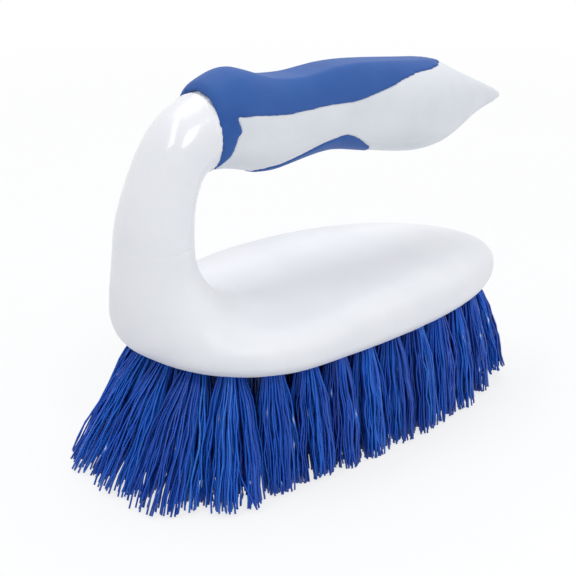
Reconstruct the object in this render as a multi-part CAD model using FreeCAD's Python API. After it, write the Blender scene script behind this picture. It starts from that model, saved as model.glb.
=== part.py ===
import FreeCAD, Part
import math
import os
from FreeCAD import Vector

# A scrub brush with an iron-style handle: +Z up, +X from the neck to the free tip of the handle.
# Lengths are in millimetres, angles in degrees.

# Block
block_length = 160.0
block_width = 85.6
block_thickness = 20.2         # at the peak of the rim
rim_crown = 9.5                # drop of the arched rim over half the block's length
rim_peak_offset = 14.0         # peak of the rim, towards the toe from the middle of the block
rim_saddle_offset = 35.0       # where the rim levels out, towards the heel from the middle
widest_offset = 33.0           # widest station, towards the heel from the middle of the block
heel_power = 2.25              # squareness of the heel half of the outline
toe_power = 2.35               # squareness of the toe half
underside_radius = 8.0
heel_undercut = 12.0           # extra draw of the underside at the heel
rim_radius = 9.5
dish_depth = 1.6
dish_slope_width = 18.0

# Bristle field
trim_length = 39.7             # underside of the block to the trimmed tips
hole_diameter = 5.6
hole_depth = 11.0
tuft_diameter = 5.0
tip_fill_share = 0.94          # width of a tip, of the distance to the nearest other tip
outer_inset = 10.5             # centres of the outer row, in from the widest outline
row_spacing_share = 0.394      # between rows, of the half width inside the outer row
root_undercut_share = 0.10     # part of the undercut that the rows follow at the heel
heel_flare = 25.0              # how far the tips of the outer row lean out past their roots
side_flare = 0.8
toe_flare = 5.0
row_counts = {"outer": 26, "middle": 17, "inner": 10}
row_flare_shares = {"outer": 1.0, "middle": 0.62, "inner": 0.3}

# Staples that hold the folded tufts in their holes
staple_width = 4.6
staple_height = 1.6
staple_thickness = 0.5
staple_clearance = 0.1
tuft_loop = 1.5                # bristle folded over the far side of the staple
hole_bottom_clearance = 0.3

# Neck, from inside the block up to the collar
neck_overhang = 6.4            # front of the neck past the heel of the block
neck_rise = 34.0               # underside of the block to the start of the bend
neck_depth = 27.6
neck_width = 34.8
root_depth = 38.2
root_width = 51.8
root_power = 2.4
bend_reach = 19.6
bend_rise = 41.5
waist_depth = 5.0              # how much slimmer the middle of the bend is than its ends
waist_width = 2.8
collar_diameter = 24.2

# Handle
handle_length = 144.0
handle_drop = 10.0
grip_height = 33.6
grip_width = 30.6
grip_power = 2.15
sleeve_thickness = 2.2
spigot_side = 11.0
spigot_corner = 3.0
spigot_length = 9.0
spigot_clearance = 0.2

# Working values
block_sides = 56
round_steps = 5
bend_steps = 6
section_sides = 24
lining_sides = 12              # the hidden face under the soft pieces
tuft_sides = 8
overrun = 8.0

# Root stations of the neck: height, overhang, depth and width, each a share of its own size
root_stations_shares = [
    (0.15, -0.20, 0.70, 0.10),
    (0.20, 0.25, 0.82, 0.24),
    (0.28, 0.56, 0.92, 0.45),
    (0.40, 0.78, 1.00, 0.76),
    (0.56, 0.88, 0.96, 0.82),
    (0.62, 0.94, 0.76, 0.62),
    (0.70, 0.97, 0.46, 0.38),
    (0.82, 1.00, 0.16, 0.14),
    (1.00, 1.00, 0.00, 0.00),
]

# Handle stations: distance, lift, height and width, each a share of its own size
handle_stations_shares = [
    (0.000, 0.132, 0.840, 0.882),
    (0.038, 0.248, 0.916, 0.920),
    (0.083, 0.273, 1.003, 0.960),
    (0.138, 0.076, 1.009, 0.948),
    (0.193, -0.035, 0.974, 0.922),
    (0.282, 0.046, 0.915, 0.870),
    (0.372, 0.144, 0.921, 0.830),
    (0.455, 0.022, 0.973, 0.857),
    (0.551, -0.194, 1.012, 0.948),
    (0.647, -0.388, 1.027, 1.000),
    (0.730, -0.434, 0.959, 0.961),
    (0.792, -0.478, 0.740, 0.818),
    (0.854, -0.489, 0.515, 0.610),
    (0.916, -0.558, 0.326, 0.400),
    (0.964, -0.640, 0.205, 0.250),
    (0.989, -0.690, 0.130, 0.160),
    (1.000, -0.710, 0.055, 0.070),
]

# Edges of the soft pieces seen from the side: distance along the handle and lift over the collar,
# as shares of the handle's length and of the grip's height
collar_edge_shares = [
    (0.004, -0.560),
    (0.005, -0.360),
    (0.013, -0.262),
    (0.026, -0.200),
    (0.032, -0.100),
    (0.037, -0.010),
    (0.047, 0.044),
]
sleeve_edge_shares = [
    (0.037, 0.191),
    (0.088, 0.176),
    (0.135, 0.152),
    (0.185, 0.127),
    (0.236, 0.131),
    (0.327, 0.135),
    (0.391, 0.122),
    (0.442, 0.147),
    (0.512, 0.204),
    (0.565, 0.255),
    (0.614, 0.286),
    (0.673, 0.290),
    (0.728, 0.316),
    (0.775, 0.372),
]
pad_edge_shares = [
    (0.110, -0.618),
    (0.132, -0.440),
    (0.182, -0.405),
    (0.240, -0.345),
    (0.307, -0.272),
    (0.346, -0.245),
    (0.385, -0.226),
    (0.430, -0.306),
    (0.461, -0.389),
    (0.489, -0.464),
    (0.512, -0.618),
]

# Places worked out from the sizes above
heel_x = -block_length / 2
underside_z = trim_length
row_spacing = row_spacing_share * (block_width / 2 - outer_inset)
bend_start_x = heel_x - neck_overhang + neck_depth / 2
bend_start_z = underside_z + neck_rise
collar_x = bend_start_x + bend_reach
collar_z = bend_start_z + bend_rise


def power_oval(angle, power):
    # One point of a unit superellipse
    cosine = math.cos(angle)
    sine = math.sin(angle)
    across = math.copysign(abs(cosine) ** (2 / power), cosine)
    along = math.copysign(abs(sine) ** (2 / power), sine)
    return across, along


def block_point(angle, inset, undercut):
    # A point of the block's plan outline, drawn in by the inset, and by the undercut at the heel
    to_heel = math.cos(angle) < 0
    power = heel_power if to_heel else toe_power
    reach = block_length / 2 + widest_offset - inset
    if to_heel:
        reach = block_length / 2 - widest_offset - inset - undercut
    across, along = power_oval(angle, power)
    return Vector(reach * across - widest_offset, (block_width / 2 - inset) * along, 0)


def faired(rows):
    # Rows with one more row in each gap, on a smooth curve through their neighbours
    out = [rows[0]]
    for index in range(len(rows) - 1):
        before = rows[max(index - 1, 0)]
        after = rows[min(index + 2, len(rows) - 1)]
        ends = zip(before, rows[index], rows[index + 1], after)
        out.append(tuple((9 * (near + far) - first - last) / 16 for first, near, far, last in ends))
        out.append(rows[index + 1])
    return out


def block_section(inset, height, crown, undercut):
    # One closed section of the block, arched by the crown
    points = []
    for side in range(block_sides):
        point = block_point(2 * math.pi * side / block_sides, inset, undercut)
        from_peak = max(point.x, -rim_saddle_offset) - rim_peak_offset
        point.z = underside_z + height - crown * (2 * from_peak / block_length) ** 2
        points.append(point)
    return Part.makePolygon(points + points[:1])


def block_solid():
    # Rounded underside, rounded rim and the dish inside the rim
    sections = []
    shares = [step / round_steps for step in range(round_steps + 1)]
    for share in shares:
        turn = math.pi / 2 * share
        inset = underside_radius * (1 - math.sin(turn))
        height = underside_radius * (1 - math.cos(turn))
        sections.append(block_section(inset, height, 0, heel_undercut * (1 - math.sin(turn))))
    for share in shares:
        turn = math.pi / 2 * share
        inset = rim_radius * (1 - math.cos(turn))
        height = block_thickness - rim_radius * (1 - math.sin(turn))
        sections.append(block_section(inset, height, rim_crown * share, 0))
    for share in shares[1:]:
        sink = (1 - math.cos(math.pi * share)) / 2
        inset = rim_radius + dish_slope_width * share
        height = block_thickness - dish_depth * sink
        sections.append(block_section(inset, height, rim_crown * (1 - sink), 0))
    return Part.makeLoft(sections, True, True)


def upright_section(centre, tilt, half_height, half_width, power, sides):
    # Closed section in the plane of symmetry's crosswise direction, leaning by the tilt
    rise = Vector(-math.sin(tilt), 0, math.cos(tilt))
    points = []
    for side in range(sides):
        across, along = power_oval(2 * math.pi * side / sides, power)
        points.append(centre + rise * (half_height * across) + Vector(0, half_width * along, 0))
    return Part.makePolygon(points + points[:1])


def neck_rows():
    # Place, tilt, depth, width and squareness of the neck's sections, from the root to the collar
    rows = []
    for height_share, overhang_share, depth_share, width_share in root_stations_shares:
        depth = neck_depth + (root_depth - neck_depth) * depth_share
        width = neck_width + (root_width - neck_width) * width_share
        x = heel_x - neck_overhang * overhang_share + depth / 2
        z = underside_z + neck_rise * height_share
        rows.append((x, z, math.pi / 2, depth, width, 2 + (root_power - 2) * width_share))
    for step in range(1, bend_steps + 1):
        share = step / bend_steps
        turn = math.pi / 2 * share
        x = bend_start_x + bend_reach * (1 - math.cos(turn))
        z = bend_start_z + bend_rise * math.sin(turn)
        tilt = math.atan2(bend_rise * math.cos(turn), bend_reach * math.sin(turn))
        slim = 4 * share * (1 - share)
        depth = neck_depth + (collar_diameter - neck_depth) * share - waist_depth * slim
        width = neck_width + (collar_diameter - neck_width) * share - waist_width * slim
        rows.append((x, z, tilt, depth, width, 2 + (grip_power - 2) * share))
    return faired(rows)


def neck_solid():
    sections = []
    for x, z, tilt, depth, width, power in neck_rows():
        sections.append(upright_section(Vector(x, 0, z), tilt, depth / 2, width / 2, power, section_sides))
    return Part.makeLoft(sections, True, True)


def handle_point(along_share, lift):
    return Vector(collar_x + handle_length * along_share, 0, collar_z + lift)


def handle_solid(skin, rows, sides):
    # Outer form of the handle, drawn in by the skin but never by more than half
    sections = []
    for along, lift, height, width in rows:
        centre = handle_point(along, handle_drop * lift)
        half_height = grip_height * height / 2
        half_width = grip_width * width / 2
        half_height -= min(skin, half_height / 2)
        half_width -= min(skin, half_width / 2)
        sections.append(upright_section(centre, 0, half_height, half_width, grip_power, sides))
    return Part.makeLoft(sections, True, True)


def side_points(shares):
    return [handle_point(along, grip_height * lift) for along, lift in shares]


def side_edges(shares):
    points = side_points(faired(shares))
    return [Part.makeLine(first, second) for first, second in zip(points, points[1:])]


def across_region(edges):
    # A closed side view pushed through the whole width of the handle
    face = Part.Face(Part.Wire(edges))
    face.translate(Vector(0, -grip_width, 0))
    return face.extrude(Vector(0, 2 * grip_width, 0))


def sleeve_region():
    low = side_points(collar_edge_shares)[0]
    tab = side_points(collar_edge_shares)[-1]
    shoulder = side_points(sleeve_edge_shares)[0]
    tongue = side_points(sleeve_edge_shares)[-1]
    above = collar_z + grip_height
    before = collar_x - grip_height
    corners = [tongue, Vector(tongue.x, 0, above), Vector(before, 0, above), Vector(before, 0, low.z), low]
    edges = side_edges(collar_edge_shares) + [Part.makeLine(tab, shoulder)] + side_edges(sleeve_edge_shares)
    edges += [Part.makeLine(first, second) for first, second in zip(corners, corners[1:])]
    return across_region(edges)


def pad_region():
    first = side_points(pad_edge_shares)[0]
    last = side_points(pad_edge_shares)[-1]
    return across_region(side_edges(pad_edge_shares) + [Part.makeLine(last, first)])


def spigot_solid(clearance, back):
    # Rounded square peg from behind the collar plane into the neck
    half = spigot_side / 2 + clearance
    reach = spigot_length + clearance
    peg = Part.makeBox(reach + back, 2 * half, 2 * half, Vector(collar_x - reach, -half, collar_z - half))
    along = [edge for edge in peg.Edges if edge.BoundBox.XLength > half]
    return peg.makeFillet(spigot_corner, along)


def row_roots(row, order):
    # Evenly spaced roots of one row, each with its outward direction
    inset = outer_inset + row_spacing * order
    outline = []
    for side in range(block_sides):
        outline.append(block_point(2 * math.pi * side / block_sides, inset, heel_undercut * root_undercut_share))
    path = Part.makePolygon(outline + outline[:1])
    roots = path.discretize(Number=row_counts[row] + 1)[:-1]
    places = []
    for index, root in enumerate(roots):
        tangent = roots[(index + 1) % len(roots)] - roots[index - 1]
        outward = Vector(tangent.y, -tangent.x, 0).normalize()
        places.append((Vector(root.x, root.y, underside_z), outward))
    return places


def tuft_axis(root, outward, row):
    # From the tip of a tuft on the resting plane up to its root
    lean = heel_flare if outward.x < 0 else toe_flare
    flare = side_flare + (lean - side_flare) * outward.x ** 2
    tip = Vector(root.x, root.y, 0) + outward * (flare * row_flare_shares[row])
    return tip, (root - tip).normalize()


def ring_points(centre, outward, diameter):
    # A level ring with one flat towards each end of the staple
    points = []
    for side in range(tuft_sides):
        angle = math.atan2(outward.y, outward.x) + 2 * math.pi * (side + 1 / 2) / tuft_sides
        points.append(centre + Vector(math.cos(angle), math.sin(angle), 0) * (diameter / 2))
    return points


def flat_sided(rings):
    # A solid of flat faces between level rings, from the lowest to the highest
    faces = [Part.Face(Part.makePolygon(rings[0][::-1] + rings[0][-1:]))]
    for low, high in zip(rings, rings[1:]):
        for side in range(tuft_sides):
            after = (side + 1) % tuft_sides
            corners = [low[side], low[after], high[after], high[side], low[side]]
            faces.append(Part.Face(Part.makePolygon(corners)))
    faces.append(Part.Face(Part.makePolygon(rings[-1] + rings[-1][:1])))
    return Part.Solid(Part.Shell(faces))


def staple_solid(root, axis, outward, clearance):
    # Flat wire across the hole, near the folded end of the tuft
    centre = root + axis * (hole_depth - hole_bottom_clearance - tuft_loop - staple_height / 2)
    width = staple_width + 2 * clearance
    thickness = staple_thickness + 2 * clearance
    height = staple_height + 2 * clearance
    wire = Part.makeBox(width, thickness, height, Vector(-width / 2, -thickness / 2, -height / 2))
    across = Vector(-outward.y, outward.x, 0)
    turn = FreeCAD.Rotation(across, axis.cross(across), axis, "ZXY")
    wire.Placement = FreeCAD.Placement(centre, turn)
    return wire


def tuft_solid(root, tip, axis, outward, tip_diameter):
    end = root + axis * (hole_depth - hole_bottom_clearance)
    rings = [ring_points(tip, outward, tip_diameter)]
    rings += [ring_points(place, outward, tuft_diameter) for place in (root, end)]
    return flat_sided(rings).cut(staple_solid(root, axis, outward, staple_clearance))


def hole_solid(root, axis, outward):
    ends = (root - axis * overrun, root + axis * hole_depth)
    return flat_sided([ring_points(place, outward, hole_diameter) for place in ends])


places = []
for order, row in enumerate(row_counts):
    for number, (root, outward) in enumerate(row_roots(row, order), 1):
        tip, axis = tuft_axis(root, outward, row)
        places.append(("%s_tuft_%02d" % (row, number), root, tip, axis, outward))

nodes = {}
tuft_nodes = {}
holes = []
staples = []
for name, root, tip, axis, outward in places:
    nearest = min(tip.distanceToPoint(other[2]) for other in places if other[0] != name)
    tuft_nodes[name] = tuft_solid(root, tip, axis, outward, tip_fill_share * nearest)
    holes.append(hole_solid(root, axis, outward))
    staples.append(staple_solid(root, axis, outward, 0))

handle_rows = faired(handle_stations_shares)
handle = handle_solid(0, handle_rows, section_sides)
lining = handle_solid(sleeve_thickness, handle_stations_shares, lining_sides)
skin = handle.cut(lining)
sleeve = skin.common(sleeve_region())
pad = skin.common(pad_region())
core = handle.cut(sleeve).cut(pad).fuse(spigot_solid(0, sleeve_thickness))
socket = spigot_solid(spigot_clearance, overrun)

nodes["block_and_neck"] = block_solid().fuse(neck_solid()).cut(socket).cut(Part.makeCompound(holes))
nodes["handle_core"] = core
nodes["grip_sleeve"] = sleeve
nodes["finger_pad"] = pad
nodes["tuft_staples"] = Part.makeCompound(staples)
nodes.update(tuft_nodes)

# The origin goes to the middle of the resting plane
whole = Part.makeCompound(list(nodes.values())).BoundBox
os.makedirs("parts", exist_ok=True)
for name, shape in nodes.items():
    shape.translate(Vector(-whole.Center.x, -whole.Center.y, -whole.ZMin))
    shape.exportStep("parts/" + name + ".step")
print(len(nodes), "nodes, box", whole.XLength, whole.YLength, whole.ZLength)
print("moved by", -whole.Center.x, -whole.Center.y, -whole.ZMin)
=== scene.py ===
import math
import random

import bmesh
import bpy
import numpy as np
from mathutils import Matrix, Vector, kdtree


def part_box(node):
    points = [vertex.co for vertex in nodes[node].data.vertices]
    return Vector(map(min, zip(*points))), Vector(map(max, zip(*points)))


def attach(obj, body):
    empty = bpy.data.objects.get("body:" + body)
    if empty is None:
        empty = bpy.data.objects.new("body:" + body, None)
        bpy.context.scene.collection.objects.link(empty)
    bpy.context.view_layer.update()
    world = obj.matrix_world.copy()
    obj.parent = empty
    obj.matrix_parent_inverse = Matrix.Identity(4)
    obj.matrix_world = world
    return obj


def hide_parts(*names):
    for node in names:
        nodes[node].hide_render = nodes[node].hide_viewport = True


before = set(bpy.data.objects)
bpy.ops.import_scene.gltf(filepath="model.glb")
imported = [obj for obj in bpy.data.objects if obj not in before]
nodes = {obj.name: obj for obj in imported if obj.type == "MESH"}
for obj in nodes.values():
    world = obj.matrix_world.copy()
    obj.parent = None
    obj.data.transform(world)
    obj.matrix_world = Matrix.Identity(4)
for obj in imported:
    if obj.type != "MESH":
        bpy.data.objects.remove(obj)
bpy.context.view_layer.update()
mm = 0.001
weldReach = 0.001 * mm
ringReach = 0.01 * mm          # points of a tuft this close in height make one ring
tuftNames = sorted(name for name in nodes if "_tuft_" in name)
print("frame loaded, tufts:", len(tuftNames))


# Meshes

def mergedCopy(node):
    # one welded bmesh of a CAD node
    bm = bmesh.new()
    bm.from_mesh(nodes[node].data)
    bmesh.ops.remove_doubles(bm, verts=bm.verts, dist=weldReach)
    return bm


def newPiece(name, bm, material):
    data = bpy.data.meshes.new(name)
    bm.to_mesh(data)
    bm.free()
    data.materials.clear()
    data.materials.append(material)
    piece = bpy.data.objects.new(name, data)
    bpy.context.scene.collection.objects.link(piece)
    return piece


def modifiersApplied(piece):
    # the evaluated mesh becomes the piece's own mesh
    bpy.context.view_layer.update()
    graph = bpy.context.evaluated_depsgraph_get()
    finished = bpy.data.meshes.new_from_object(piece.evaluated_get(graph))
    piece.modifiers.clear()
    piece.data = finished


def remeshed(node, name, material, voxel, turn=Matrix()):
    # the turn lays the grid of cells across the piece
    start = mergedCopy(node)
    start.transform(turn)
    piece = newPiece(name, start, material)
    remesh = piece.modifiers.new("remesh", "REMESH")
    remesh.mode = "VOXEL"
    remesh.voxel_size = voxel
    modifiersApplied(piece)
    bm = bmesh.new()
    bm.from_mesh(piece.data)
    bm.transform(turn.inverted())
    bm.normal_update()
    return piece, bm


def relax(bm, verts, rounds, factor):
    for _ in range(rounds):
        bmesh.ops.smooth_vert(bm, verts=verts, factor=factor,
                              use_axis_x=True, use_axis_y=True, use_axis_z=True)


def smoothMesh(piece, bm):
    for face in bm.faces:
        face.smooth = True
    bm.to_mesh(piece.data)
    bm.free()


def placed(piece, slot, *replacedNodes):
    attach(piece, "root")
    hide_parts(*replacedNodes)


def tuftEnds(node):
    # middle and radius of a tuft at its tip and where it leaves the block
    points = np.array([vert.co for vert in nodes[node].data.vertices])
    heights = np.unique(np.round(points[:, 2], 6))
    ends = []
    for height in (heights[0], undersideHeight):
        ring = points[np.abs(points[:, 2] - height) < ringReach]
        middle = (ring.min(0) + ring.max(0)) / 2
        ends.append((Vector(middle), float(np.linalg.norm(ring - middle, axis=1).max())))
    return ends


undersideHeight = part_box("block_and_neck")[0].z
tufts = {name: tuftEnds(name) for name in tuftNames}


# Shader node groups

def addNode(tree, kind, **values):
    node = tree.nodes.new(kind)
    for key, value in values.items():
        if key in node.inputs:
            node.inputs[key].default_value = value
        else:
            setattr(node, key, value)
    return node


def newGroup(name, inputs, outputs):
    group = bpy.data.node_groups.new(name, "ShaderNodeTree")
    for label, kind, value in inputs:
        socket = group.interface.new_socket(label, in_out="INPUT", socket_type=kind)
        socket.default_value = value
    for label, kind in outputs:
        group.interface.new_socket(label, in_out="OUTPUT", socket_type=kind)
    return group, group.nodes.new("NodeGroupInput"), group.nodes.new("NodeGroupOutput")


def mouldedGrain():
    # cloudy tone, fine pitting and sparse rubs of a moulded surface
    inputs = [("Cloud Size", "NodeSocketFloat", 40.0), ("Grain Size", "NodeSocketFloat", 900.0),
              ("Rub Size", "NodeSocketFloat", 120.0)]
    outputs = [("Cloud", "NodeSocketFloat"), ("Grain", "NodeSocketFloat"), ("Rub", "NodeSocketFloat")]
    group, inside, outside = newGroup("mouldedGrain", inputs, outputs)
    link = group.links.new
    place = addNode(group, "ShaderNodeTexCoord")
    cloud = addNode(group, "ShaderNodeTexNoise", Detail=3.0, Roughness=0.55)
    grain = addNode(group, "ShaderNodeTexNoise", Detail=2.0, Roughness=0.6)
    stretch = addNode(group, "ShaderNodeMapping", Scale=(1.0, 1.0, 0.12))
    rub = addNode(group, "ShaderNodeTexNoise", Detail=4.0, Roughness=0.7, Distortion=0.6)
    rubMask = addNode(group, "ShaderNodeMapRange", **{"From Min": 0.62, "From Max": 0.74})
    link(place.outputs["Object"], cloud.inputs["Vector"])
    link(place.outputs["Object"], grain.inputs["Vector"])
    link(place.outputs["Object"], stretch.inputs["Vector"])
    link(stretch.outputs["Vector"], rub.inputs["Vector"])
    link(inside.outputs["Cloud Size"], cloud.inputs["Scale"])
    link(inside.outputs["Grain Size"], grain.inputs["Scale"])
    link(inside.outputs["Rub Size"], rub.inputs["Scale"])
    link(rub.outputs["Fac"], rubMask.inputs["Value"])
    link(cloud.outputs["Fac"], outside.inputs["Cloud"])
    link(grain.outputs["Fac"], outside.inputs["Grain"])
    link(rubMask.outputs["Result"], outside.inputs["Rub"])
    return group


grainGroup = mouldedGrain()


# Materials

def newMaterial(name):
    material = bpy.data.materials.new(name)
    material.use_nodes = True
    tree = material.node_tree
    tree.nodes.clear()
    surface = addNode(tree, "ShaderNodeOutputMaterial")
    shader = addNode(tree, "ShaderNodeBsdfPrincipled")
    tree.links.new(shader.outputs["BSDF"], surface.inputs["Surface"])
    return material, tree, shader


def colourRamp(tree, stops):
    ramp = tree.nodes.new("ShaderNodeValToRGB")
    elements = ramp.color_ramp.elements
    while len(elements) < len(stops):
        elements.new(0.5)
    for element, (position, colour) in zip(elements, stops):
        element.position = position
        element.color = (*colour, 1.0)
    return ramp


def polished(tree, shader, shine, polish):
    # brighter polish high up, where a hand rubs it, than low down, where it is scrubbed
    link = tree.links.new
    place = addNode(tree, "ShaderNodeTexCoord")
    split = addNode(tree, "ShaderNodeSeparateXYZ")
    low, high = polish["heights"]
    dull = addNode(tree, "ShaderNodeMapRange", **{"From Min": low, "From Max": high,
                                                  "To Min": polish["dull"], "To Max": 0.0})
    coat = addNode(tree, "ShaderNodeMapRange", **{"From Min": low, "From Max": high,
                                                  "To Min": 0.0, "To Max": polish["coat"]})
    top = addNode(tree, "ShaderNodeMath", operation="ADD")
    top.inputs[1].default_value = shine.inputs["To Max"].default_value
    bottom = addNode(tree, "ShaderNodeMath", operation="ADD")
    bottom.inputs[1].default_value = shine.inputs["To Min"].default_value
    link(place.outputs["Object"], split.inputs["Vector"])
    link(split.outputs["Z"], dull.inputs["Value"])
    link(split.outputs["Z"], coat.inputs["Value"])
    link(dull.outputs["Result"], top.inputs[0])
    link(dull.outputs["Result"], bottom.inputs[0])
    link(top.outputs["Value"], shine.inputs["To Max"])
    link(bottom.outputs["Value"], shine.inputs["To Min"])
    link(coat.outputs["Result"], shader.inputs["Coat Weight"])


def mouldedMaterial(name, look):
    material, tree, shader = newMaterial(name)
    link = tree.links.new
    grain = addNode(tree, "ShaderNodeGroup", node_tree=grainGroup)
    grain.inputs["Cloud Size"].default_value = look["cloudSize"]
    grain.inputs["Grain Size"].default_value = look["grainSize"]
    grain.inputs["Rub Size"].default_value = look["rubSize"]
    tone = colourRamp(tree, look["tones"])
    shine = addNode(tree, "ShaderNodeMapRange", **{"To Min": look["shine"][0], "To Max": look["shine"][1]})
    dulled = addNode(tree, "ShaderNodeMath", operation="MULTIPLY_ADD")
    dulled.inputs[1].default_value = look["rubDulling"]
    bump = addNode(tree, "ShaderNodeBump", Strength=look["bumpStrength"], Distance=look["bumpDepth"])
    if "polish" in look:
        polished(tree, shader, shine, look["polish"])
    link(grain.outputs["Cloud"], tone.inputs["Fac"])
    link(tone.outputs["Color"], shader.inputs["Base Color"])
    link(grain.outputs["Cloud"], shine.inputs["Value"])
    link(grain.outputs["Rub"], dulled.inputs[0])
    link(shine.outputs["Result"], dulled.inputs[2])
    link(dulled.outputs["Value"], shader.inputs["Roughness"])
    link(grain.outputs["Grain"], bump.inputs["Height"])
    link(bump.outputs["Normal"], shader.inputs["Normal"])
    for socket, value in look["fixed"].items():
        shader.inputs[socket].default_value = value
    return material


whiteGloss = mouldedMaterial("white_gloss", {
    "tones": [(0.3, (0.765, 0.775, 0.80)), (0.7, (0.815, 0.82, 0.835))],
    "cloudSize": 38.0, "grainSize": 420.0, "rubSize": 45.0,
    "shine": (0.17, 0.23), "rubDulling": 0.03, "bumpStrength": 0.06, "bumpDepth": 0.2 * mm,
    "fixed": {"IOR": 1.5, "Coat Roughness": 0.12},
    "polish": {"heights": (0.062, 0.090), "dull": 0.24, "coat": 0.3},
})
whiteSatin = mouldedMaterial("white_satin", {
    "tones": [(0.3, (0.66, 0.685, 0.72)), (0.7, (0.73, 0.75, 0.775))],
    "cloudSize": 55.0, "grainSize": 1100.0, "rubSize": 60.0,
    "shine": (0.40, 0.50), "rubDulling": 0.04, "bumpStrength": 0.22, "bumpDepth": 0.15 * mm,
    "fixed": {"IOR": 1.48},
})
softBlue = mouldedMaterial("soft_blue", {
    "tones": [(0.25, (0.022, 0.086, 0.315)), (0.75, (0.034, 0.112, 0.36))],
    "cloudSize": 60.0, "grainSize": 1700.0, "rubSize": 90.0,
    "shine": (0.58, 0.68), "rubDulling": -0.06, "bumpStrength": 0.45, "bumpDepth": 0.16 * mm,
    "fixed": {"IOR": 1.46, "Specular IOR Level": 0.28, "Sheen Weight": 0.14, "Sheen Roughness": 0.4,
              "Sheen Tint": (0.75, 0.80, 1.0, 1.0)},
})


def bristleMaterial(look):
    # each filament keeps its own tone, with drawn streaks along it; the tone also carries painted light near
    # the roots and short painted glints
    material, tree, shader = newMaterial("bristle_blue")
    link = tree.links.new
    tone = addNode(tree, "ShaderNodeAttribute", attribute_name="strandToneAndPaintedLight")
    place = addNode(tree, "ShaderNodeTexCoord")
    stretch = addNode(tree, "ShaderNodeMapping", Scale=look["streakScale"])
    streak = addNode(tree, "ShaderNodeTexNoise", Scale=1.0, Detail=2.0)
    mixed = addNode(tree, "ShaderNodeMath", operation="MULTIPLY_ADD")
    mixed.inputs[1].default_value = look["streakShare"]
    shift = addNode(tree, "ShaderNodeMath", operation="SUBTRACT")
    shift.inputs[1].default_value = look["streakShare"] / 2
    ramp = colourRamp(tree, look["tones"])
    shine = addNode(tree, "ShaderNodeMapRange", **{"To Min": look["shine"][0], "To Max": look["shine"][1]})
    link(place.outputs["Object"], stretch.inputs["Vector"])
    link(stretch.outputs["Vector"], streak.inputs["Vector"])
    link(streak.outputs["Fac"], mixed.inputs[0])
    link(tone.outputs["Fac"], mixed.inputs[2])
    link(mixed.outputs["Value"], shift.inputs[0])
    link(shift.outputs["Value"], ramp.inputs["Fac"])
    link(ramp.outputs["Color"], shader.inputs["Base Color"])
    link(streak.outputs["Fac"], shine.inputs["Value"])
    link(shine.outputs["Result"], shader.inputs["Roughness"])
    for socket, value in look["fixed"].items():
        shader.inputs[socket].default_value = value
    return material


bristleBlue = bristleMaterial({
    # the palest stops, up to 0.9, are the painted light at the roots of the middle and inner rows; 1.0 is the
    # painted glint
    "tones": [(0.0, (0.012, 0.062, 0.38)), (0.35, (0.008, 0.090, 0.53)), (0.65, (0.008, 0.130, 0.61)),
              (0.8, (0.06, 0.23, 0.72)), (0.9, (0.20, 0.36, 0.95)), (1.0, (0.62, 0.68, 0.92))],
    "streakScale": (900.0, 900.0, 60.0), "streakShare": 0.30, "shine": (0.26, 0.46),
    "fixed": {"IOR": 1.5, "Specular IOR Level": 0.38},
})


def wireMaterial(look):
    material, tree, shader = newMaterial("staple_wire")
    link = tree.links.new
    grain = addNode(tree, "ShaderNodeGroup", node_tree=grainGroup)
    grain.inputs["Grain Size"].default_value = look["grainSize"]
    tone = colourRamp(tree, look["tones"])
    shine = addNode(tree, "ShaderNodeMapRange", **{"To Min": look["shine"][0], "To Max": look["shine"][1]})
    link(grain.outputs["Grain"], tone.inputs["Fac"])
    link(tone.outputs["Color"], shader.inputs["Base Color"])
    link(grain.outputs["Grain"], shine.inputs["Value"])
    link(shine.outputs["Result"], shader.inputs["Roughness"])
    shader.inputs["Metallic"].default_value = 1.0
    return material


stapleWire = wireMaterial({
    "tones": [(0.3, (0.50, 0.50, 0.52)), (0.7, (0.66, 0.66, 0.67))],
    "grainSize": 2500.0, "shine": (0.28, 0.42),
})
print("materials made")


# Block and neck: one smooth moulding

bodySpec = {
    "voxel": 1.1 * mm,
    "gridTurn": math.radians(15),    # about the upright, for a grid that stands on its corner
    "swell": 0.35 * mm,        # makes up for what the smoothing draws in
    "rounds": 46,
    "factor": 0.6,
    "holeGuard": 4.4 * mm,     # round each tuft, where the surface keeps its holes
    "holeRoom": (-6 * mm, 12.2 * mm),    # along the tuft, from the underside
    "collarHeight": 98 * mm,
    "collarGuard": 3.2 * mm,   # length of the neck's end that keeps its size
    "collarRounds": 3,
    "collarSkin": 1.5 * mm,    # depth of the rounded edge that is opened out
    "collarSwell": 0.3 * mm,   # so that the end meets the lip of the sleeve
    "neckSwell": 0.85 * mm,    # given back at the collar
    "neckReach": 15 * mm,      # length over which it grows
    "rimHeights": [6 * mm, 9 * mm, 12 * mm, 15 * mm],    # the lower edge is smoothed less
    "rimRounds": 18,
    "blendRounds": 130,        # second smoothing, where the neck grows out of the block
    "blendLow": 44 * mm,
    "blendHigh": 90 * mm,
    "blendReach": 70 * mm,     # from the heel
    "blendFade": 18 * mm,      # the second smoothing comes in over this length
    "collarRadius": 12.5 * mm,
}


def nearTuft(points, spec):
    # which points lie inside or beside a tuft hole
    near = np.zeros(len(points), bool)
    low, high = spec["holeRoom"]
    for (tip, _), (root, _) in tufts.values():
        axis = np.array((root - tip).normalized())
        away = points - np.array(root)
        along = away @ axis
        across = np.linalg.norm(away - np.outer(along, axis), axis=1)
        near |= (across < spec["holeGuard"]) & (along > low) & (along < high)
    return near


def eased(share):
    share = min(max(share, 0), 1)
    return share * share * (3 - 2 * share)


def collarMiddle(neckEnd):
    sides = [vert.co.y for vert in neckEnd]
    heights = [vert.co.z for vert in neckEnd]
    last = max(vert.co.x for vert in neckEnd)
    return Vector((last, (min(sides) + max(sides)) / 2, (min(heights) + max(heights)) / 2))


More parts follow.
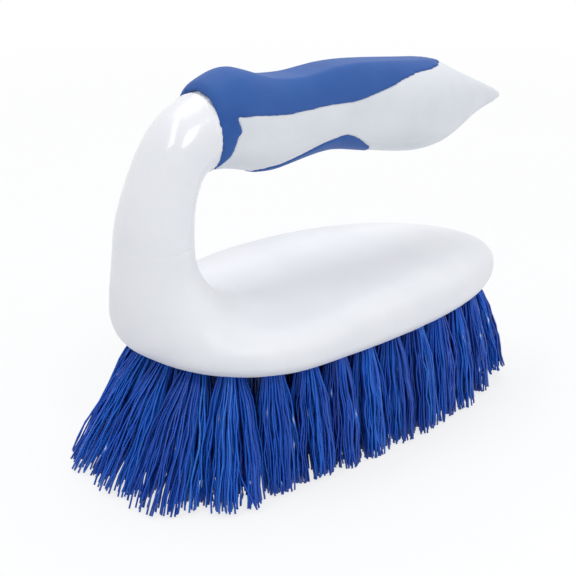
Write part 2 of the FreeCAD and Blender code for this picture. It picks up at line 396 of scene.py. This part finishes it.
def blendNeck(bm, free, spec):
    # smoother where the neck grows out of the block, fading out all round
    heel = min(vert.co.x for vert in free)
    region = [vert for vert in free if vert.co.z > spec["blendLow"] and vert.co.x < heel + spec["blendReach"]]
    before = [vert.co.copy() for vert in region]
    relax(bm, region, spec["blendRounds"], spec["factor"])
    for vert, place in zip(region, before):
        rooms = (place.z - spec["blendLow"], spec["blendHigh"] - place.z, heel + spec["blendReach"] - place.x)
        vert.co = place.lerp(vert.co, math.prod(eased(room / spec["blendFade"]) for room in rooms))


def swellNeck(bm, collar, spec):
    # gives back what the smoothing drew in, up to the collar
    bm.normal_update()
    away = [(vert.co - collar).length - spec["collarRadius"] for vert in bm.verts]
    steps = [vert.normal * (spec["neckSwell"] * eased(1 - far / spec["neckReach"]))
             for vert, far in zip(bm.verts, away)]
    for vert, step in zip(bm.verts, steps):
        step.x = 0
        vert.co += step


def widenCollar(neckEnd, spec):
    # the end of the neck opens to a round, crisp ring
    last = max(vert.co.x for vert in neckEnd)
    ring = [vert.co for vert in neckEnd if vert.co.x > last - spec["collarGuard"] / 2]
    middle = Vector((0, (min(co.y for co in ring) + max(co.y for co in ring)) / 2,
                     (min(co.z for co in ring) + max(co.z for co in ring)) / 2))
    radius = max(co.y for co in ring) - middle.y
    for vert in neckEnd:
        out = Vector((0, vert.co.y, vert.co.z)) - middle
        if out.length < radius - spec["collarSkin"]:
            continue
        share = min(1, (vert.co.x - last + spec["collarGuard"]) / (spec["collarGuard"] - spec["collarSkin"]))
        grown = out.normalized() * (radius + spec["collarSwell"])
        vert.co += (grown - out) * (share * share * (3 - 2 * share))


def makeBody(spec):
    # the grid of cells stands on its corner, so that no row of cells runs along a face
    upright = Vector((1, 1, 1)).rotation_difference(Vector((0, 0, 1))).to_matrix().to_4x4()
    turn = (Matrix.Rotation(spec["gridTurn"], 4, "Z") @ upright).inverted()
    piece, bm = remeshed("block_and_neck", "block_and_neck_skin", whiteGloss, spec["voxel"], turn)
    points = np.array([vert.co for vert in bm.verts])
    guarded = nearTuft(points, spec)
    high = points[:, 2] > spec["collarHeight"]
    collar = high & (points[:, 0] > points[high, 0].max() - spec["collarGuard"])
    neckEnd = [vert for vert, held in zip(bm.verts, collar) if held]
    free = [vert for vert, held in zip(bm.verts, guarded | collar) if not held]
    for vert in free:
        vert.co += vert.normal * spec["swell"]
    relax(bm, neckEnd, spec["collarRounds"], spec["factor"])
    relax(bm, free, spec["rimRounds"], spec["factor"])
    for height in spec["rimHeights"]:
        upper = [vert for vert in free if vert.co.z > undersideHeight + height]
        relax(bm, upper, (spec["rounds"] - spec["rimRounds"]) // len(spec["rimHeights"]), spec["factor"])
    blendNeck(bm, free, spec)
    swellNeck(bm, collarMiddle(neckEnd), spec)
    widenCollar(neckEnd, spec)
    smoothMesh(piece, bm)
    placed(piece, "white_gloss", "block_and_neck")
    return piece


body = makeBody(bodySpec)
print("block and neck:", len(body.data.polygons), "faces")


# Handle core, and the grip sleeve and finger pad: soft covers with rounded lips

coreSpec = {
    "voxel": 0.55 * mm,
    "swell": 0.05 * mm,
    "rounds": 30,
    "factor": 0.6,
    "edgeAngle": 40.0,
    "edgeGuard": 1.0 * mm,
    "edgeRounds": 2,
    "frontRoom": 1.7 * mm,
    "edgeStep": 0.4 * mm,
}
softSpec = {
    "voxel": 0.45 * mm,
    "swell": 0.36 * mm,        # stands this much proud of the core
    "rounds": 40,
    "factor": 0.6,
    "edgeAngle": 40.0,
    "edgeGuard": 1.3 * mm,     # beside an edge, which keeps its line
    "edgeRounds": 4,
    "frontRoom": 1.7 * mm,     # the lip at the collar is rounder than the other edges
    "edgeStep": 0.4 * mm,
}
thumbSpec = {
    "depth": 2.0 * mm,
    "keep": 0.10,              # share of the crown that is left above the flat
    "rounds": 8,
    "length": 144 * mm,        # the shares below are of this, from the collar
    "shares": [0.0, 0.09, 0.18, 0.27, 0.40, 0.55, 0.70, 0.80],
    "depthShares": [0.0, 0.0, 0.7, 1.0, 0.75, 0.5, 0.28, 0.0],
}


def edgeTree(node, spec):
    # points along the sharp edges of a CAD node, without the outer edge of the sleeve's front lip
    bm = mergedCopy(node)
    front = min(vert.co.x for vert in bm.verts)
    lip = [vert.co for vert in bm.verts if vert.co.x < front + spec["frontRoom"]]
    middle = Vector(((min(co.y for co in lip) + max(co.y for co in lip)) / 2,
                     (min(co.z for co in lip) + max(co.z for co in lip)) / 2))
    reach = [(Vector((co.y, co.z)) - middle).length for co in lip]
    rim = (min(reach) + max(reach)) / 2
    found = []
    for edge in bm.edges:
        if edge.calc_face_angle(math.pi) < math.radians(spec["edgeAngle"]):
            continue
        first, last = (vert.co for vert in edge.verts)
        outside = min((Vector((co.y, co.z)) - middle).length for co in (first, last)) > rim
        if node == "grip_sleeve" and outside and max(first.x, last.x) < front + spec["frontRoom"]:
            continue
        count = max(1, math.ceil((last - first).length / spec["edgeStep"]))
        found += [first.lerp(last, step / count) for step in range(count + 1)]
    bm.free()
    tree = kdtree.KDTree(len(found))
    for index, point in enumerate(found):
        tree.insert(point, index)
    tree.balance()
    return tree


def flattenThumbRest(bm, spec):
    # the crown of the sleeve sinks to a nearly flat rest for the thumb
    points = np.array([vert.co for vert in bm.verts])
    front = points[:, 0].min()
    bins = ((points[:, 0] - front) / mm).astype(int)
    tops = np.full(bins.max() + 1, -1.0)
    np.maximum.at(tops, bins, points[:, 2])
    along = np.arange(len(tops)) * mm / spec["length"]
    depths = spec["depth"] * np.interp(along, spec["shares"], spec["depthShares"])
    moved = []
    for vert, spot in zip(bm.verts, bins):
        flat = tops[spot] - depths[spot]
        if depths[spot] > 0 and vert.co.z > flat:
            vert.co.z = flat + (vert.co.z - flat) * spec["keep"]
            moved.append(vert)
    return moved


def makeHandlePiece(node, material, slot, spec):
    piece, bm = remeshed(node, node + "_skin", material, spec["voxel"])
    tree = edgeTree(node, spec)
    near = [tree.find(vert.co)[2] < spec["edgeGuard"] for vert in bm.verts]
    lip = [vert for vert, held in zip(bm.verts, near) if held]
    free = [vert for vert, held in zip(bm.verts, near) if not held]
    for vert in bm.verts:
        vert.co += vert.normal * spec["swell"]
    relax(bm, lip, spec["edgeRounds"], spec["factor"])
    relax(bm, free, spec["rounds"], spec["factor"])
    if node == "grip_sleeve":
        crown = flattenThumbRest(bm, thumbSpec)
        relax(bm, free, thumbSpec["rounds"], spec["factor"])
        print("thumb rest:", len(crown), "points")
    smoothMesh(piece, bm)
    placed(piece, slot, node)
    return piece


handlePieces = [
    makeHandlePiece("handle_core", whiteSatin, "white_satin", coreSpec),
    makeHandlePiece("grip_sleeve", softBlue, "soft_blue", softSpec),
    makeHandlePiece("finger_pad", softBlue, "soft_blue", softSpec),
]
print("handle pieces:", [len(piece.data.polygons) for piece in handlePieces])


# Bristles: crimped filaments, folded into the holes as tufts

bristleSpec = {
    "seed": 4127,
    "perTuft": 120,
    "patterns": 14,            # different crimps that the filaments share
    "sides": 3,
    "steps": 10,
    "diameter": 0.78 * mm,
    "crimp": 0.38 * mm,
    "crimpFade": 2.5,          # the crimp grows to its size over 1 / 2.5 of the length
    "waves": (1.7, 3.3),
    "bow": 0.35 * mm,
    "bellies": [0.2 * mm, 1.0 * mm, 1.8 * mm],    # how far a filament bows out of its tuft, inner ones first
    "rootFill": 0.92,
    "tipFill": (1.34, 1.05),   # along the row and across it
    "fans": {"heel": -4.5 * mm, "side": 4.0 * mm, "toe": 8.0 * mm},
    "toeLift": 5.5 * mm,       # tips rise as the toe fans out
    "fanShares": {"outer": 1.0, "middle": 0.6, "inner": 0.3},
    "raggedTip": 2.6 * mm,
    "tipScatter": 0.9 * mm,
    "inHole": 6 * mm,
    "tipShares": (0.1, 1.0),   # of the shortfall that a clump has
    "tipJitter": 0.5 * mm,
    "tipGap": 0.05 * mm,
    "clumps": 7,               # bundles in a tuft that share a tone
    "clumpPull": 0.15,         # how far the tips of a clump draw together
    "clumpTones": (0.1, 0.55),
    "toneSpread": 0.11,
    "toneTop": 0.72,
    "paintedGlintFrom": 4,            # first ring of points that may carry a painted glint
    "paintedGlintShare": 0.10,        # filaments with a short painted glint, a pale patch in the colour
    "strays": 3,               # filaments in a tuft that stand off from it
    "strayBow": 2.4 * mm,
    # painted light: the middle and inner rows are paler near the roots, for the light that shows between the
    # outer tufts
    "paintedLightRoots": {"outer": 0.0, "middle": 0.7, "inner": 0.7},
    "paintedLightReach": (0.35, 0.7),  # share of the length where the painted light at the roots begins to go and is gone
    # highest tone that the painted light at the roots reaches
    "paintedLightTop": 0.9,
}


def filamentPattern(rng, spec, bowWidth, belly):
    # unit length along z, crimp in metres
    bm = bmesh.new()
    made = bmesh.ops.create_circle(bm, segments=spec["sides"], radius=spec["diameter"] / 2)
    ring = list({edge for vert in made["verts"] for edge in vert.link_edges})
    waves = rng.uniform(*spec["waves"])
    fullTurn, halfTurn = 6.28, 3.14
    phases = (rng.uniform(0, fullTurn), rng.uniform(0, fullTurn))
    bow = (rng.gauss(0, 1) * bowWidth + belly, rng.gauss(0, 1) * bowWidth)
    last = Vector((0, 0, 0))
    for step in range(1, spec["steps"] + 1):
        share = step / spec["steps"]
        fade = min(1, share * spec["crimpFade"])
        sway = [spec["crimp"] * fade * math.sin(phase + fullTurn * waves * share) for phase in phases]
        arch = math.sin(halfTurn * share)
        here = Vector((sway[0] + bow[0] * arch, sway[1] + bow[1] * arch, share))
        grown = bmesh.ops.extrude_edge_only(bm, edges=ring)["geom"]
        verts = [item for item in grown if isinstance(item, bmesh.types.BMVert)]
        ring = [item for item in grown
                if isinstance(item, bmesh.types.BMEdge) and all(vert in verts for vert in item.verts)]
        bmesh.ops.translate(bm, verts=verts, vec=here - last)
        last = here
    bmesh.ops.edgeloop_fill(bm, edges=ring)
    bmesh.ops.recalc_face_normals(bm, faces=bm.faces)
    for face in bm.faces:
        face.smooth = True
    data = bpy.data.meshes.new("filament")
    bm.to_mesh(data)
    bm.free()
    return data


def discSpot(rng):
    # even spread over a unit disc
    angle = rng.uniform(0, 2 * math.pi)
    reach = math.sqrt(rng.random())
    return Vector((reach * math.cos(angle), reach * math.sin(angle), 0))


def filamentMatrix(root, tip, facing):
    # local z runs from root to tip, x and y keep their length, x faces out of the tuft
    along = tip - root
    direction = along.normalized()
    side = (facing - direction * facing.dot(direction)).normalized()
    other = direction.cross(side)
    columns = Matrix((side, other, along)).transposed().to_4x4()
    return Matrix.Translation(root) @ columns


def makeRow(row, spec):
    rng = random.Random("%s %d" % (row, spec["seed"]))
    patterns = [[filamentPattern(rng, spec, spec["bow"], belly) for _ in range(spec["patterns"])]
                for belly in spec["bellies"]]
    strays = [filamentPattern(rng, spec, spec["strayBow"], spec["bellies"][-1])
              for _ in range(spec["patterns"])]
    names = [name for name in tuftNames if name.startswith(row)]
    rings = np.arange(spec["steps"] + 1) / spec["steps"]
    # painted light near the roots, fading out along the filament
    paintedLightRoot = np.interp(rings, spec["paintedLightReach"], [1, 0]) * spec["paintedLightRoots"][row]
    bm = bmesh.new()
    tonesAndPaintedLight = []
    for index, name in enumerate(names):
        (tip, tipRadius), (root, rootRadius) = tufts[name]
        axis = (root - tip).normalized()
        along = (tufts[names[(index + 1) % len(names)]][0][0] - tufts[names[index - 1]][0][0]).normalized()
        outward = Vector((along.y, -along.x, 0))
        lean = spec["fans"]["heel" if outward.x < 0 else "toe"]
        fan = spec["fans"]["side"] + (lean - spec["fans"]["side"]) * outward.x ** 2
        fanned = tip + outward * (fan * spec["fanShares"][row])
        lift = spec["toeLift"] * max(0, outward.x) ** 2 * spec["fanShares"][row]
        clumps = [(discSpot(rng), rng.uniform(*spec["clumpTones"]), rng.uniform(0, spec["raggedTip"]))
                  for _ in range(spec["clumps"])]
        for count in range(spec["perTuft"]):
            spot = discSpot(rng)
            centre, tone, shortfall = min(clumps, key=lambda clump: (clump[0] - spot).length)
            drawn = spot.lerp(centre, spec["clumpPull"])
            facing = along * spot.x + outward * spot.y
            start = root + facing * (rootRadius * spec["rootFill"]) + axis * spec["inHole"]
            spread = along * (drawn.x * spec["tipFill"][0]) + outward * (drawn.y * spec["tipFill"][1])
            end = fanned + spread * tipRadius + discSpot(rng) * spec["tipScatter"]
            ragged = shortfall * rng.uniform(*spec["tipShares"]) + rng.uniform(0, spec["tipJitter"])
            end.z = min(ragged, spec["raggedTip"]) + spec["tipGap"] + lift
            ring = min(int(spot.length * len(patterns)), len(patterns) - 1)
            filament = rng.choice(strays if count < spec["strays"] else patterns[ring]).copy()
            filament.transform(filamentMatrix(start, end, facing))
            bm.from_mesh(filament)
            bpy.data.meshes.remove(filament)
            ownTone = np.clip(tone + rng.gauss(0, spec["toneSpread"]), 0, spec["toneTop"])
            # own tone plus the painted light near the roots
            toneAndPaintedLight = np.minimum(ownTone + paintedLightRoot, spec["paintedLightTop"])
            # painted glint: one ring of a few filaments gets the palest tone
            if rng.random() < spec["paintedGlintShare"]:
                toneAndPaintedLight[rng.randint(spec["paintedGlintFrom"], spec["steps"])] = 1.0
            tonesAndPaintedLight.append(np.repeat(toneAndPaintedLight, spec["sides"]))
    for data in sum(patterns, strays):
        bpy.data.meshes.remove(data)
    piece = newPiece(row + "_bristles", bm, bristleBlue)
    # the attribute holds each filament's own tone together with the painted light and painted glints
    tone = piece.data.attributes.new("strandToneAndPaintedLight", "FLOAT", "POINT")
    tone.data.foreach_set("value", np.concatenate(tonesAndPaintedLight).astype(np.float32))
    placed(piece, "bristle_blue", *names)
    return piece


rows = [makeRow(row, bristleSpec) for row in ("outer", "middle", "inner")]
print("bristle rows:", [len(piece.data.polygons) for piece in rows])

staples = nodes["tuft_staples"]
staples.data.materials.clear()
staples.data.materials.append(stapleWire)


# Floor, lamps and camera

stageSpec = {
    "floorSize": 6.0,
    "floorTones": [(0.35, (0.86, 0.865, 0.875)), (0.65, (0.885, 0.89, 0.90))],
    "floorCloud": 3.0,
    "floorRoughness": 0.9,
    "floorSpecular": 0.1,
    "floorLift": (0.75, 1.0),  # share of white under the object and away from it
    "floorReach": (0.25, 0.9),
    "worldColour": (0.93, 0.95, 1.0),
    "worldStrength": 0.52,
}


def backdropMask(tree):
    # 1 for what the camera, a mirror or glass sees
    ray = addNode(tree, "ShaderNodeLightPath")
    either = addNode(tree, "ShaderNodeMath", operation="MAXIMUM")
    anyOf = addNode(tree, "ShaderNodeMath", operation="MAXIMUM")
    tree.links.new(ray.outputs["Is Camera Ray"], either.inputs[0])
    tree.links.new(ray.outputs["Is Glossy Ray"], either.inputs[1])
    tree.links.new(either.outputs["Value"], anyOf.inputs[0])
    tree.links.new(ray.outputs["Is Transmission Ray"], anyOf.inputs[1])
    return anyOf


def backdropShare(tree, shader, spec):
    # the floor is seen part of the way to white, with the shadow kept, and from below not at all
    link = tree.links.new
    seen = backdropMask(tree)
    place = addNode(tree, "ShaderNodeTexCoord")
    away = addNode(tree, "ShaderNodeVectorMath", operation="LENGTH")
    near, far = spec["floorReach"]
    low, high = spec["floorLift"]
    share = addNode(tree, "ShaderNodeMapRange", **{"From Min": near, "From Max": far,
                                                   "To Min": low, "To Max": high})
    lift = addNode(tree, "ShaderNodeMath", operation="MULTIPLY")
    white = addNode(tree, "ShaderNodeEmission", Color=(1.0, 1.0, 1.0, 1.0), Strength=1.0)
    mix = addNode(tree, "ShaderNodeMixShader")
    below = addNode(tree, "ShaderNodeNewGeometry")
    clear = addNode(tree, "ShaderNodeBsdfTransparent")
    whole = addNode(tree, "ShaderNodeMixShader")
    surface = next(node for node in tree.nodes if node.type == "OUTPUT_MATERIAL")
    link(place.outputs["Object"], away.inputs[0])
    link(away.outputs["Value"], share.inputs["Value"])
    link(seen.outputs["Value"], lift.inputs[0])
    link(share.outputs["Result"], lift.inputs[1])
    link(lift.outputs["Value"], mix.inputs["Fac"])
    link(shader.outputs["BSDF"], mix.inputs[1])
    link(white.outputs["Emission"], mix.inputs[2])
    link(below.outputs["Backfacing"], whole.inputs["Fac"])
    link(mix.outputs["Shader"], whole.inputs[1])
    link(clear.outputs["BSDF"], whole.inputs[2])
    link(whole.outputs["Shader"], surface.inputs["Surface"])


def makeFloor(spec):
    bm = bmesh.new()
    bmesh.ops.create_grid(bm, x_segments=2, y_segments=2, size=spec["floorSize"] / 2)
    material, tree, shader = newMaterial("pale_floor")
    grain = addNode(tree, "ShaderNodeGroup", node_tree=grainGroup)
    grain.inputs["Cloud Size"].default_value = spec["floorCloud"]
    tone = colourRamp(tree, spec["floorTones"])
    tree.links.new(grain.outputs["Cloud"], tone.inputs["Fac"])
    tree.links.new(tone.outputs["Color"], shader.inputs["Base Color"])
    shader.inputs["Roughness"].default_value = spec["floorRoughness"]
    shader.inputs["Specular IOR Level"].default_value = spec["floorSpecular"]
    backdropShare(tree, shader, spec)
    floor = newPiece("studio_floor", bm, material)


def makeWorld(spec):
    world = bpy.data.worlds.new("studio")
    bpy.context.scene.world = world
    world.use_nodes = True
    tree = world.node_tree
    tree.nodes.clear()
    link = tree.links.new
    surface = addNode(tree, "ShaderNodeOutputWorld")
    soft = addNode(tree, "ShaderNodeBackground", Color=(*spec["worldColour"], 1.0),
                   Strength=spec["worldStrength"])
    white = addNode(tree, "ShaderNodeBackground", Color=(1.0, 1.0, 1.0, 1.0), Strength=1.0)
    seen = backdropMask(tree)
    mix = addNode(tree, "ShaderNodeMixShader")
    link(seen.outputs["Value"], mix.inputs["Fac"])
    link(soft.outputs["Background"], mix.inputs[1])
    link(white.outputs["Background"], mix.inputs[2])
    link(mix.outputs["Shader"], surface.inputs["Surface"])


lampAim = Vector((0, 0, 60 * mm))
lampSpecs = {
    "front": {"place": (-0.36, -0.86, 1.06), "size": (0.46, 0.40), "watts": 4.6, "lay": (1.0, -0.35, 0.0)},
    "strip": {"place": (-0.70, 0.15, 1.18), "size": (0.95, 0.16), "watts": 3.0, "lay": (0.47, 0.53, 0.15)},
    "fill": {"place": (1.05, -1.0, 0.75), "size": (1.5, 1.2), "watts": 4.0, "lay": (1.0, 1.0, 0.0)},
    "top": {"place": (0.25, 0.45, 1.3), "size": (1.4, 1.1), "watts": 7.2, "lay": (1.0, 0.0, 0.0)},
}


def makeLamp(name, spec):
    # long side of the lamp follows the lay
    data = bpy.data.lights.new(name, "AREA")
    data.shape = "RECTANGLE"
    data.size, data.size_y = spec["size"]
    data.energy = spec["watts"]
    lamp = bpy.data.objects.new(name, data)
    back = (Vector(spec["place"]) - lampAim).normalized()
    lay = Vector(spec["lay"])
    side = (lay - back * lay.dot(back)).normalized()
    turn = Matrix((side, back.cross(side), back)).transposed()
    lamp.location = spec["place"]
    lamp.rotation_euler = turn.to_euler()
    bpy.context.scene.collection.objects.link(lamp)


makeFloor(stageSpec)
makeWorld(stageSpec)
for lampName, lampSpec in lampSpecs.items():
    makeLamp(lampName, lampSpec)
print("floor and lamps placed")

cameraSpec = {
    "place": (-298.49 * mm, -332.45 * mm, 214.06 * mm),
    "aim": (-19.53 * mm, 0.0, 52.67 * mm),
    "toe": 76 * mm,            # place of the block's toe in the line of the two points above
    "lens": 81.25,
    "sensor": 36.0,
    "clipStart": 10 * mm,
}


def makeCamera(spec):
    data = bpy.data.cameras.new("photo_view")
    data.lens = spec["lens"]
    data.sensor_width = spec["sensor"]
    data.clip_start = spec["clipStart"]
    shift = Vector((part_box("block_and_neck")[1].x - spec["toe"], 0, 0))
    camera = bpy.data.objects.new("photo_view", data)
    camera.location = Vector(spec["place"]) + shift
    camera.rotation_euler = (Vector(spec["aim"]) - Vector(spec["place"])).to_track_quat("-Z", "Y").to_euler()
    bpy.context.scene.collection.objects.link(camera)
    bpy.context.scene.camera = camera


makeCamera(cameraSpec)
bpy.context.scene.view_settings.view_transform = "Standard"
